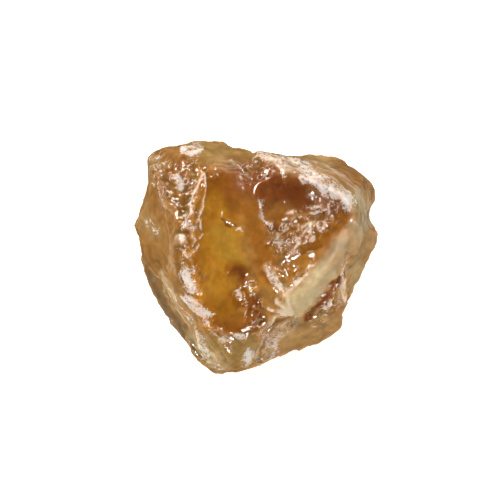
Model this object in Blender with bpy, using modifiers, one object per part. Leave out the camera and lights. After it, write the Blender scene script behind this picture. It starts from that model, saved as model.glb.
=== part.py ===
"""Honey calcite: one rough chunk, as broken from the seam, lying on its flattest break.

Run it in Blender 4.5: blender --background --python part.py, or from the text editor. It leaves one
closed solid, honey_calcite, with its flat underside on the ground and its outline centred on Z.

The chunk is made the way it broke:

    block       the convex body between the stone's corners, its edges nicked by small chips
    breakouts   hollows that fell out of it, each bounded by a few flat walls
    dents       round scars, where a blow left a shallow bowl
    skin        the block becomes one fine even mesh, and the marks are worked into it:
                slabs that split off along a line, knobs, crusted crests and the grain of the breaks
    foot        the skin is thinned to its final faces and cut flat where it stands

X is to the right and Y away from whoever faces the blunt point at the front.
"""

import bmesh
import bpy
import numpy as np
from mathutils import Matrix, Vector, noise

# Lengths below are in millimetres. The mesh is made in metres.
MM = 0.001

NAME = "honey_calcite"
SEED = 11
TRIANGLES = 9600

# The corners of the block, each group going round the stone.
GIRTH = (
    (-9.4, -30.2, 8.5), (-8.0, -31.3, 13.0), (6.2, -24.4, 15.5), (15.2, -22.0, 9.5),
    (21.3, -21.0, 12.0), (21.7, -15.4, 17.0), (24.6, -6.0, 11.0), (28.6, 3.7, 14.0),
    (31.0, 5.8, 18.0), (31.0, 15.6, 14.5), (29.6, 18.2, 18.0), (27.2, 20.9, 21.5),
    (22.2, 25.0, 17.0), (14.0, 25.6, 20.0), (-2.0, 28.0, 15.5), (-11.0, 29.1, 20.0),
    (-16.0, 29.6, 18.0), (-24.4, 27.9, 22.0), (-28.2, 26.6, 19.0), (-30.0, 10.8, 13.0),
    (-31.0, 6.5, 17.0), (-29.0, -3.7, 12.0), (-24.8, -11.6, 14.0), (-21.2, -18.2, 9.0),
    (-15.6, -25.8, 11.5), (-13.0, -28.1, 8.5),
)
LEFT_CREST = (
    (-17.0, 24.0, 31.0), (-14.0, 19.0, 35.0), (-15.0, 12.0, 36.8), (-16.0, 3.0, 37.2),
    (-17.0, -5.0, 35.2), (-14.0, -12.5, 31.5), (-10.5, -18.0, 28.0), (-8.0, -23.5, 24.0),
)
BACK_CREST = (
    (-15.0, 26.5, 27.0), (0.0, 25.2, 26.0), (9.0, 23.6, 29.5), (14.0, 21.0, 32.5),
    (19.0, 17.8, 35.0), (23.5, 14.0, 35.8),
)
RIGHT_CREST = (
    (22.0, 7.0, 35.0), (17.0, 0.0, 33.8), (13.0, -4.5, 32.5), (9.0, -12.0, 29.5), (5.0, -16.0, 27.0),
)
SHOULDERS = (
    (25.0, 4.0, 30.0), (21.2, -4.5, 28.5), (17.0, -11.0, 26.5), (11.5, -16.0, 24.5),
    (25.8, 16.5, 28.0), (-24.5, 19.0, 30.0), (-22.5, 8.0, 31.0), (-21.5, -2.0, 29.0),
    (-17.5, -11.0, 26.5), (-26.8, -4.0, 20.5), (-20.5, -16.0, 18.5), (-13.5, -25.5, 16.0),
)
# The foot goes on below the ground, and is cut flat at the end.
FOOT = (
    (-18.0, 20.0, -3.0), (-4.0, 22.0, -3.0), (13.0, 19.0, -3.0), (22.0, 9.0, -3.0),
    (20.0, -5.0, -3.0), (11.0, -16.0, -3.0), (-4.0, -21.0, -3.0), (-13.0, -17.0, -3.0),
    (-21.0, -3.0, -3.0), (-22.0, 10.0, -3.0),
)

# Chips leave the widest outline and the foot alone: how many, how deep, and how steeply they face
# up or down.
CHIPS = 190
CHIP_DEPTHS = (0.1, 0.9)
STEEPNESS_ABOVE = (0.3, 1.0)
STEEPNESS_BELOW = (-0.7, -0.3)

# Hollows left by pieces that fell out. Each wall is the plane through three of its points.
BREAKOUTS = {
    "long trough": (
        ((-13.0, 18.0, 34.3), (-14.8, -3.0, 35.0), (-9.5, 5.0, 27.5)),
        ((-15.2, -6.0, 34.0), (-10.5, -16.5, 28.5), (-7.5, -5.0, 27.0)),
        ((-3.0, 17.0, 32.5), (3.0, 0.0, 31.5), (-5.0, 5.0, 27.3)),
        ((-12.0, 22.5, 32.5), (-4.0, 21.5, 31.0), (-8.0, 10.0, 27.5)),
        ((-8.0, -19.5, 26.0), (2.0, -17.0, 26.5), (-5.0, -5.0, 26.8)),
    ),
    "right bowl": (
        ((3.0, 20.0, 31.0), (20.0, 16.0, 34.5), (10.0, 6.0, 25.5)),
        ((25.1, 8.7, 34.8), (14.9, -6.5, 32.0), (13.7, 0.7, 25.5)),
        ((1.0, 14.0, 31.5), (4.0, -4.0, 31.0), (8.0, 3.0, 25.5)),
        ((4.5, -7.5, 30.0), (11.0, -8.5, 31.0), (9.0, 1.0, 25.5)),
    ),
    "back of the saddle": (
        ((-6.5, 22.5, 30.5), (0.0, 18.8, 30.6), (-1.0, 26.5, 24.0)),
        ((6.0, 22.0, 31.0), (0.0, 18.8, 30.6), (-1.0, 26.5, 24.0)),
    ),
}

# Round scars: the centre and the radius of the ball that fits each one.
DENTS = {
    "left rim": ((-47.0, 20.0, 20.0), 20.5),
    "low left rim": ((-36.6, 1.8, 14.0), 7.8),
    "right rim": ((33.2, 10.6, 14.0), 5.0),
    "right rim, higher": ((33.1, 10.6, 20.0), 5.2),
    "back rim": ((5.6, 56.0, 19.0), 30.8),
    "front rim": ((12.0, -32.0, 13.0), 8.3),
    "lower left rim": ((-25.5, -27.0, 12.0), 9.9),
    "lower right rim": ((31.3, -14.1, 12.0), 9.5),
    "front right": ((13.0, -26.0, 1.0), 10.5),
    "front left": ((-24.0, -20.0, 0.0), 10.5),
    "right side": ((31.0, 1.0, 1.0), 10.0),
    "back side": ((5.0, 35.0, 3.0), 14.5),
    "left side": ((-34.0, 8.0, 1.0), 12.5),
}

# A block that reaches past the stone on every side, and how finely the balls of the dents are made.
AMPLE = 160.0
BALL_FINENESS = 4

SKIN_CELL = 0.45
SKIN_SMOOTHINGS = 2

# Hollows and saddles whose creases are worn soft, seen from above, and how far that reaches.
SOFT_PLACES = (
    (((-7.5, 20.5), (-7.0, 4.0), (-6.0, -12.0)), 8.5),
    (((5.0, 14.0), (13.0, 9.0), (12.0, 0.0)), 8.5),
    (((-2.0, 16.0), (0.4, 8.0), (3.0, -5.0)), 5.0),
    (((-12.5, 21.5), (-6.5, 22.6), (-2.5, 20.5)), 6.0),
    (((23.5, 8.0), (19.2, 3.1), (14.8, -2.0), (8.5, -10.0)), 2.6),
)
SOFTENINGS = 40
SOFTENED_ABOVE = (15.0, 20.0)

# Slabs split off along a line, seen from above. The surface drops on the left of the line by the
# first length, and comes back to level over the second.
SLABS = {
    "below the flat strip": (((9.5, -17.0), (15.5, -13.8), (19.8, -8.5), (22.4, -2.5)), -1.6, 5.0),
    "outer arc": (((9.5, -14.0), (5.5, -14.8), (3.2, -17.5), (1.2, -21.5), (0.3, -26.5)), 1.0, 4.0),
    "inner arc": (((9.0, -16.4), (6.2, -17.2), (4.6, -19.5), (3.2, -23.0), (2.5, -26.0)), 0.7, 3.0),
    "first band": (
        ((-28.6, -1.5), (-24.3, -6.5), (-20.6, -13.0), (-16.2, -19.0), (-14.9, -24.0), (-10.5, -28.0)),
        -1.1, 3.0,
    ),
    "second band": (
        ((-26.2, -1.0), (-22.6, -7.0), (-18.8, -13.0), (-14.4, -19.0), (-12.2, -24.0), (-8.5, -27.5)),
        -0.8, 2.0,
    ),
    "third band": (((-23.6, 0.0), (-20.6, -7.0), (-16.6, -13.0), (-12.6, -18.5), (-9.6, -23.5)), -0.8, 2.5),
    "left band": (((-25.6, 19.5), (-23.0, 12.0), (-21.2, 5.0), (-21.6, -4.0), (-19.0, -9.0)), -1.0, 4.0),
    "outer lens": (((-12.2, 22.0), (-14.3, 19.5), (-16.7, 15.0), (-17.4, 11.0)), -0.9, 2.5),
    "inner lens": (((-12.4, 21.5), (-12.8, 16.0), (-15.0, 10.0), (-14.4, 6.5)), 0.9, 3.0),
    "front of the bowl": (((3.3, -2.0), (4.7, -5.0), (8.0, -8.6), (10.5, -6.2), (12.7, -3.5)), 0.8, 3.0),
    "bowl ledge": (((2.2, 6.4), (6.5, 5.4), (9.5, 8.0), (13.0, 9.5), (18.5, 12.5)), -0.9, 4.0),
    "trough floor": (((-9.0, 9.6), (-6.0, 8.6), (-3.4, 4.2), (-2.6, -2.0), (-6.0, -5.0)), 0.5, 3.0),
    "trough foot": (((-11.5, -17.8), (-6.0, -19.4), (-1.5, -18.6), (1.5, -15.5)), -0.8, 3.0),
}
SLAB_EDGE = 0.35
SLAB_WANDER = 0.8

# Knobs, seen from above: place, radius and height.
KNOBS = (
    (-18.7, 4.5, 1.5, 1.0), (-19.5, 19.0, 3.2, 1.1), (-17.0, 12.5, 1.6, 0.6), (-17.6, 0.2, 1.4, 0.6),
    (18.2, -11.8, 1.7, 1.0), (7.5, 3.2, 2.2, 0.9), (-5.0, 7.0, 1.3, 0.6), (-4.8, -8.8, 1.6, 0.8),
    (0.6, -8.2, 1.5, 0.7), (-3.0, -2.0, 1.8, 0.5), (14.2, 8.6, 1.8, 0.8), (16.4, 12.8, 1.6, 0.7),
    (9.4, 10.4, 1.5, 0.6), (6.6, 7.2, 1.4, 0.7), (-23.5, 18.0, 2.0, 0.8), (-17.5, 23.0, 1.8, 0.7),
)

# Crests crusted with crumbs, seen from above, and how far the crust reaches.
CRUSTS = (
    ((-13.0, 21.5), (-16.6, 15.0), (-17.5, 9.0), (-18.4, 4.0), (-17.5, 0.0), (-17.4, -6.0)),
    ((-17.4, -6.0), (-14.0, -12.5), (-10.5, -18.0), (-5.0, -20.0)),
    ((0.0, 25.5), (5.0, 25.0), (10.0, 23.6), (14.5, 20.0), (18.5, 17.2), (23.5, 14.5)),
    ((2.0, 12.5), (3.5, 6.5), (8.5, 3.0), (13.0, 7.0), (16.5, 12.0)),
    ((-26.0, 25.0), (-23.5, 18.0), (-19.0, 20.5), (-16.5, 27.0)),
    ((4.5, -14.5), (7.0, -18.0), (4.0, -22.0), (0.0, -24.5)),
)
CRUST_REACH = 2.6
CRUST_SIZE = 1.9
CRUST_HEIGHT = 0.75
# How far a crumb falls from its top to its edge, in crust heights.
CRUMB_FALL = 1.6

# The unevenness of the breaks: the size and the height of the facets, swells and grain, and what
# wear took off all over.
FACET_SIZE = 11.0
FACET_TILT = 0.05
FACET_WANDER = 1.2
FACETS_ON_TOP = 0.3
SWELL_SIZE = 8.0
SWELL_HEIGHT = 0.7
WEAR = 0.25
GRAIN_SIZE = 2.2
GRAIN_HEIGHT = 0.14
GRAIN_WANDER = 0.3
# Faces steeper than this, as the upward part of their normal, count as sides.
SIDE_SLOPE = 0.4

# Layers of the seam, which show as steps on the steep sides.
LAYER_NORMAL = (0.25, -0.2, 0.95)
LAYER_THICKNESS = 4.6
LAYER_STEP = 0.55
LAYER_WANDER = 0.4
LAYER_EDGE = 0.12

SHARP_ANGLE = np.radians(35.0)
SMALLEST_EDGE = 0.01


def hull_of(corners):
    """A closed convex body between the corners."""
    body = bmesh.new()
    for corner in corners:
        body.verts.new(corner)
    bmesh.ops.convex_hull(body, input=body.verts)
    inside = [vert for vert in body.verts if not vert.link_faces]
    bmesh.ops.delete(body, geom=inside, context="VERTS")
    return body


def cut_off(body, point, normal):
    """Takes away what lies beyond a plane, and closes the cut."""
    everything = body.verts[:] + body.edges[:] + body.faces[:]
    cut = bmesh.ops.bisect_plane(
        body, geom=everything, dist=1e-5, plane_co=point, plane_no=normal, clear_outer=True
    )
    rim = [edge for edge in cut["geom_cut"] if isinstance(edge, bmesh.types.BMEdge)]
    if rim:
        bmesh.ops.edgeloop_fill(body, edges=rim)


def chip(body, rng):
    """Takes off the outermost corner in many scattered directions."""
    for _ in range(CHIPS):
        direction = Vector(rng.normal(size=3)).normalized()
        depth = rng.uniform(*CHIP_DEPTHS)
        above = STEEPNESS_ABOVE[0] < direction.z < STEEPNESS_ABOVE[1]
        below = STEEPNESS_BELOW[0] < direction.z < STEEPNESS_BELOW[1]
        if above or below:
            outermost = max(body.verts, key=lambda vert: vert.co.dot(direction))
            cut_off(body, outermost.co - direction * depth, direction)


def piece_between(walls):
    """The piece that filled a hollow: what lies outward of all its walls."""
    piece = bmesh.new()
    bmesh.ops.create_cube(piece, size=AMPLE)
    for points in walls:
        a, b, c = (Vector(point) for point in points)
        normal = (b - a).cross(c - a).normalized()
        if normal.z > 0.0:
            normal.negate()
        cut_off(piece, a, normal)
    return piece


def ball(centre, radius):
    """The round body whose side fits a dent."""
    body = bmesh.new()
    bmesh.ops.create_icosphere(body, subdivisions=BALL_FINENESS, radius=radius)
    bmesh.ops.translate(body, verts=body.verts, vec=Vector(centre))
    return body


def new_collection(name):
    made = bpy.data.collections.new(name)
    bpy.context.scene.collection.children.link(made)
    return made


def add_object(name, body, collection):
    """A mesh object made from a body, which is used up."""
    mesh = bpy.data.meshes.new(name)
    bmesh.ops.recalc_face_normals(body, faces=body.faces)
    body.to_mesh(mesh)
    body.free()
    made = bpy.data.objects.new(name, mesh)
    collection.objects.link(made)
    return made


def as_shown(thing):
    """A new mesh of what an object shows with its modifiers."""
    graph = bpy.context.evaluated_depsgraph_get()
    return bpy.data.meshes.new_from_object(thing.evaluated_get(graph))


def broken_block():
    """The block with its chips, hollows and dents, as a mesh of even small faces."""
    work = new_collection("work")
    body = hull_of(GIRTH + LEFT_CREST + BACK_CREST + RIGHT_CREST + SHOULDERS + FOOT)
    chip(body, np.random.default_rng(SEED))
    block = add_object("block", body, work)
    cutters = {name: piece_between(walls) for name, walls in BREAKOUTS.items()}
    cutters |= {name: ball(centre, radius) for name, (centre, radius) in DENTS.items()}
    for name, cutter in cutters.items():
        cut = block.modifiers.new(name, "BOOLEAN")
        cut.object = add_object(name, cutter, work)
        cut.operation = "DIFFERENCE"
    skin = block.modifiers.new("skin", "REMESH")
    skin.mode = "VOXEL"
    skin.voxel_size = SKIN_CELL
    ease = block.modifiers.new("ease", "SMOOTH")
    ease.iterations = SKIN_SMOOTHINGS
    mesh = as_shown(block)
    for used in list(work.objects):
        bpy.data.objects.remove(used)
    bpy.data.collections.remove(work)
    return mesh


def smooth_step(low, high, values):
    share = np.clip((values - low) / (high - low), 0.0, 1.0)
    return share * share * (3.0 - 2.0 * share)


def beside(points, path):
    """How far each point is from a path, seen from above, and on which side: left is positive."""
    nearest = np.full(len(points), np.inf)
    side = np.zeros(len(points))
    past_end = np.zeros(len(points))
    for start, end in zip(path[:-1], path[1:]):
        along = np.subtract(end, start)
        length = np.linalg.norm(along)
        along /= length
        offset = points[:, :2] - np.array(start)
        run = offset @ along
        inside = np.clip(run, 0.0, length)
        distance = np.linalg.norm(offset - inside[:, None] * along, axis=1)
        closer = distance < nearest
        nearest = np.where(closer, distance, nearest)
        side = np.where(closer, along[0] * offset[:, 1] - along[1] * offset[:, 0], side)
        past_end = np.where(closer, np.abs(run - inside), past_end)
    return nearest, np.sign(side), past_end


def facets(point):
    """The height of a patchwork of flat facets, each tilted its own way."""
    place = point / FACET_SIZE
    cell = noise.voronoi(place)[1][0]
    tilt = noise.cell_vector(cell * SEED)
    return FACET_TILT * FACET_SIZE * (place - cell).dot(tilt * 2.0 - Vector((1.0, 1.0, 1.0)))


def soften(mesh, points):
    """Wears the creases of the soft places, by drawing each point towards the middle of its neighbours."""
    share = np.zeros(len(points))
    for path, reach in SOFT_PLACES:
        share = np.maximum(share, smooth_step(reach, 0.35 * reach, beside(points, path)[0]))
    share *= smooth_step(*SOFTENED_ABOVE, points[:, 2])
    ends = np.empty(len(mesh.edges) * 2, dtype=np.int64)
    mesh.edges.foreach_get("vertices", ends)
    ends = ends.reshape(-1, 2)
    here = np.concatenate([ends[:, 0], ends[:, 1]])
    there = np.concatenate([ends[:, 1], ends[:, 0]])
    count = len(points)
    neighbours = np.bincount(here, minlength=count)[:, None]
    for _ in range(SOFTENINGS):
        total = np.stack([np.bincount(here, points[there, axis], count) for axis in range(3)], axis=1)
        points = points + share[:, None] * (total / neighbours - points)
    return points


def worn(points, normals):
    """How far the marks lift each point of the skin along its normal."""
    shift = Vector((SEED, 2.0 * SEED, 3.0 * SEED))
    places = [Vector(point) for point in points]
    swell = np.array([noise.noise(p / SWELL_SIZE + shift) for p in places])
    sway = np.array([noise.noise_vector(p / SWELL_SIZE - shift) for p in places])
    grain = np.array([noise.fractal(p / GRAIN_SIZE + shift, 1.0, 2.0, 3) for p in places])
    crumbs = np.array([noise.voronoi(p / CRUST_SIZE + shift)[0][0] for p in places])
    wandering = points + FACET_WANDER * sway
    patches = np.array([facets(Vector(point)) for point in wandering])
    up = smooth_step(0.0, SIDE_SLOPE, normals[:, 2])
    lift = SWELL_HEIGHT * swell + GRAIN_HEIGHT * grain - WEAR
    lift += (1.0 - up + FACETS_ON_TOP * up) * patches
    wandering[:, :2] = points[:, :2] + SLAB_WANDER * sway[:, :2] + GRAIN_WANDER * grain[:, None]
    for path, depth, fade in SLABS.values():
        distance, side, past_end = beside(wandering, path)
        beyond = distance * side * np.sign(depth)
        drop = smooth_step(-SLAB_EDGE, SLAB_EDGE, beyond) * np.exp(-np.maximum(beyond, 0.0) / fade)
        lift -= up * abs(depth) * drop * np.exp(-past_end)
    for x, y, radius, height in KNOBS:
        distance = np.linalg.norm(wandering[:, :2] - np.array((x, y)), axis=1)
        lift += up * height * smooth_step(radius, 0.0, distance)
    crust = np.zeros(len(points))
    for path in CRUSTS:
        crust = np.maximum(crust, smooth_step(CRUST_REACH, 0.0, beside(wandering, path)[0]))
    lift += up * crust * CRUST_HEIGHT * (1.0 - CRUMB_FALL * crumbs)
    level = wandering @ np.array(LAYER_NORMAL) / LAYER_THICKNESS + LAYER_WANDER * swell
    step = level - np.floor(level)
    lift += (1.0 - up) * LAYER_STEP * (0.5 - step) * smooth_step(0.0, LAYER_EDGE, step)
    return lift


def get_vectors(collection, name):
    values = np.empty(len(collection) * 3)
    collection.foreach_get(name, values)
    return values.reshape(-1, 3)


def cut_foot(mesh):
    """Cuts the stone flat at the ground, and centres its outline on Z."""
    body = bmesh.new()
    body.from_mesh(mesh)
    cut_off(body, Vector((0.0, 0.0, 0.0)), Vector((0.0, 0.0, -1.0)))
    bmesh.ops.dissolve_degenerate(body, edges=body.edges, dist=SMALLEST_EDGE)
    body.to_mesh(mesh)
    body.free()
    corners = get_vectors(mesh.vertices, "co")
    middle = (corners.min(axis=0) + corners.max(axis=0)) / 2.0
    corners[:, 2] = np.maximum(corners[:, 2], 0.0)
    corners[:, :2] -= middle[:2]
    mesh.vertices.foreach_set("co", corners.ravel())


def stone_material():
    made = bpy.data.materials.new("honey calcite")
    made.use_nodes = True
    surface = made.node_tree.nodes["Principled BSDF"]
    surface.inputs["Base Color"].default_value = (0.42, 0.21, 0.07, 1.0)
    surface.inputs["Roughness"].default_value = 0.2
    surface.inputs["Metallic"].default_value = 0.0
    return made


def main():
    for old in list(bpy.data.objects):
        bpy.data.objects.remove(old)
    noise.seed_set(SEED)
    mesh = broken_block()
    mesh.name = NAME
    points = soften(mesh, get_vectors(mesh.vertices, "co"))
    mesh.vertices.foreach_set("co", points.ravel())
    mesh.update()
    normals = get_vectors(mesh.vertices, "normal")
    points += normals * worn(points, normals)[:, None]
    mesh.vertices.foreach_set("co", points.ravel())
    stone = bpy.data.objects.new(NAME, mesh)
    new_collection(NAME).objects.link(stone)
    thin = stone.modifiers.new("fewer faces", "DECIMATE")
    thin.ratio = TRIANGLES / sum(len(face.vertices) - 2 for face in mesh.polygons)
    stone.data = as_shown(stone)
    stone.modifiers.clear()
    bpy.data.meshes.remove(mesh)
    stone.data.name = NAME
    cut_foot(stone.data)
    stone.data.transform(Matrix.Scale(MM, 4))
    stone.data.materials.append(stone_material())
    stone.data.shade_smooth()
    stone.data.set_sharp_from_angle(angle=SHARP_ANGLE)


main()
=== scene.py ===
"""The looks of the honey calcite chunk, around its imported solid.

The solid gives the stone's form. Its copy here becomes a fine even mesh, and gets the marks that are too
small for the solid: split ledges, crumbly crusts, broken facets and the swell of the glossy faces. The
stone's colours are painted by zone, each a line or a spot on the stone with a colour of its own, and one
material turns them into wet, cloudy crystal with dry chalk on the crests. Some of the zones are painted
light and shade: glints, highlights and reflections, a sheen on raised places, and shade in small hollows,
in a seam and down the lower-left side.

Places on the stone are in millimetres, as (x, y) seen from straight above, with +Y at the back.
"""

import math

import bmesh
import bpy
import numpy as np
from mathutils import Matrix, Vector, noise


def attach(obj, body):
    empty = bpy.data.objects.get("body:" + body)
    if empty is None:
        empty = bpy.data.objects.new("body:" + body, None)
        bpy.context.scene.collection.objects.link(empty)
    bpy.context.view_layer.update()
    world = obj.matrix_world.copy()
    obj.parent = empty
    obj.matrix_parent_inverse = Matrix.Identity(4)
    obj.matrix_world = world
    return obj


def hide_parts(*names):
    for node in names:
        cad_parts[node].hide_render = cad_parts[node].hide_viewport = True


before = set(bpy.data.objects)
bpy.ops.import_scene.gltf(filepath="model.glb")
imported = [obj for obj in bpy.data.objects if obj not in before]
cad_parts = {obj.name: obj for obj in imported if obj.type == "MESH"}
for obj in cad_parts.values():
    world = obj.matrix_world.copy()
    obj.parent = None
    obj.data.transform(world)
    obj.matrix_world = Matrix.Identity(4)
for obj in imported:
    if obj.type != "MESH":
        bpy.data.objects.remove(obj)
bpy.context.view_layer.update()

NODE = "honey_calcite"
MM = 0.001
PER_METRE = 1000.0
SEED = 5
# Where each seed's noise lies, and how far apart the draws of two cells lie.
NOISE_SHIFT = (7.1, 3.3, 5.9)
CELL_SPACING = 9.7
# A soft spot is full out to this share of its reach.
SPOT_FULL = 0.35

# The photograph looks straight down, from this high over the floor.
EYE = (-1.47, 2.05, 716.0)
LENS = 200.0
SENSOR = 36.0
# Places were read at the height of the stone's widest outline.
READ_HEIGHT = 16.0

SKIN_CELL = 0.36
SKIN_SMOOTHINGS = 5
# Corners this close are one corner, in metres, and a face this near the floor, in cells, is underneath.
WELD = 1e-6
UNDERNEATH = 0.3


# ---- places seen from above -------------------------------------------------------------------


def seen(points):
    """Where points appear from above: what is higher is nearer to the eye, and appears further out."""
    eye = np.array(EYE[:2])
    nearer = (EYE[2] - READ_HEIGHT) / (EYE[2] - points[:, 2])
    return eye + (points[:, :2] - eye) * nearer[:, None]


def smooth_step(low, high, values):
    """0 at the low value and 1 at the high one, with a soft start and a soft end."""
    share = np.clip((values - low) / (high - low), 0.0, 1.0)
    return share * share * (3.0 - 2.0 * share)


def beside(places, path):
    """How far places are from a path, on which side of it (left is positive), past its ends and along it."""
    nearest = np.full(len(places), np.inf)
    side = np.zeros(len(places))
    past_end = np.zeros(len(places))
    run = np.zeros(len(places))
    passed = 0.0
    for start, end in zip(path[:-1], path[1:]):
        along = np.subtract(end, start)
        length = np.linalg.norm(along)
        along /= length
        offset = places - np.array(start)
        forward = offset @ along
        inside = np.clip(forward, 0.0, length)
        distance = np.linalg.norm(offset - inside[:, None] * along, axis=1)
        closer = distance < nearest
        nearest = np.where(closer, distance, nearest)
        side = np.where(closer, along[0] * offset[:, 1] - along[1] * offset[:, 0], side)
        past_end = np.where(closer, np.abs(forward - inside), past_end)
        run = np.where(closer, passed + inside, run)
        passed += length
    return nearest, np.sign(side), past_end, run


# ---- the fine mesh ----------------------------------------------------------------------------

# Hollows and saddles whose creases are worn soft: the path, and how far the softening reaches.
SOFTENED = (
    (((-7.5, 20.5), (-7.0, 14.0), (-7.0, 4.0), (-6.0, -12.0)), 8.5),
    (((5.0, 14.0), (13.0, 9.0), (12.0, 0.0)), 8.5),
    (((-2.0, 16.0), (0.4, 8.0), (2.0, 0.0), (3.0, -5.0)), 5.0),
    (((-13.0, 21.8), (-6.5, 22.6), (-2.5, 20.5)), 5.0),
    (((23.5, 8.0), (19.2, 3.1)), 2.2),
    (((19.2, 3.1), (14.8, -2.0), (8.5, -10.0)), 3.6),
)
SOFTENINGS = 60
SOFTENING_SHARE = 0.9

# Ledges where thin slabs split off: the path, the drop on its left (or, if negative, on its right),
# and how far the drop takes to come back to level.
LEDGES = (
    (((-12.2, 22.0), (-14.3, 19.5), (-16.7, 14.8), (-17.4, 11.5)), -0.7, 1.6),
    (((-12.4, 21.5), (-12.6, 17.0), (-13.3, 12.8), (-15.2, 9.8), (-14.2, 6.5), (-14.4, 2.5)), 0.6, 1.4),
    (((-25.2, 20.8), (-24.6, 18.0), (-23.2, 12.2), (-21.0, 10.8), (-20.9, 5.0), (-21.6, -2.0)), -0.5, 1.5),
    (((-19.2, 19.4), (-17.0, 18.7)), 0.5, 0.8),
    (((-28.4, -2.0), (-24.2, -7.0), (-20.3, -13.6), (-16.0, -19.6), (-14.8, -23.6), (-10.0, -28.0)),
     -0.7, 1.6),
    (((-26.8, -1.8), (-22.9, -7.6), (-19.2, -13.6), (-15.0, -19.6), (-13.4, -23.4), (-9.0, -27.0)),
     -0.4, 0.9),
    (((-24.8, -2.4), (-21.6, -8.0), (-17.8, -14.0), (-13.6, -19.2), (-11.0, -23.6)), -0.5, 1.0),
    (((-22.6, -3.0), (-20.0, -8.6), (-16.2, -14.0), (-12.0, -19.0), (-9.0, -23.0), (-7.6, -25.6)), -0.4, 0.9),
    (((9.4, -13.9), (5.4, -14.7), (3.2, -17.4), (1.2, -21.4), (0.4, -26.0)), 0.7, 1.4),
    (((9.8, -15.0), (6.0, -15.8), (4.2, -18.2), (2.4, -22.0), (1.6, -26.0)), -0.5, 1.0),
    (((10.0, -15.6), (15.4, -13.6), (19.0, -9.0), (21.2, -4.0), (22.8, 1.0)), -0.7, 1.8),
    (((11.0, -17.0), (16.0, -14.6), (19.6, -10.4), (22.0, -5.0)), -0.4, 0.9),
    (((-4.2, 22.8), (-2.0, 21.0), (0.0, 19.4), (2.0, 20.0), (4.2, 21.2)), 0.5, 1.5),
    (((-6.4, 24.2), (-3.6, 22.0), (-1.4, 20.4)), -0.4, 0.9),
    (((3.2, -1.8), (4.5, -5.0), (8.0, -8.6), (10.5, -6.4), (12.8, -3.2)), 0.4, 1.2),
    (((-8.8, 9.7), (-7.2, 9.4), (-6.0, 8.7), (-5.2, 7.8)), 0.5, 0.8),
    (((-6.6, -4.8), (-4.4, -3.0), (-2.6, -3.6), (-0.6, -5.2)), 0.2, 1.2),
    (((-6.4, -12.0), (-5.6, -8.4), (-3.0, -7.0), (-0.4, -5.6)), -0.25, 1.2),
    (((-11.6, -17.6), (-8.0, -19.6), (-4.0, -19.4), (-0.6, -17.8), (1.4, -15.4)), -0.5, 1.6),
    (((2.0, 14.0), (1.2, 11.0), (2.4, 8.4), (4.8, 6.6), (7.6, 6.8)), 0.5, 1.4),
    (((4.0, 4.4), (7.0, 4.8), (9.6, 2.4), (8.0, 0.4), (4.6, 1.0)), -0.4, 1.0),
    (((11.6, 0.2), (13.6, 1.4), (16.4, 2.6)), 0.35, 1.4),
    (((-22.6, 15.0), (-20.6, 13.4), (-18.4, 11.8)), 0.35, 1.3),
)
LEDGE_EDGE = 0.16
# How quickly a ledge dies out past its ends, for each millimetre.
LEDGE_END = 1.5

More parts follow.
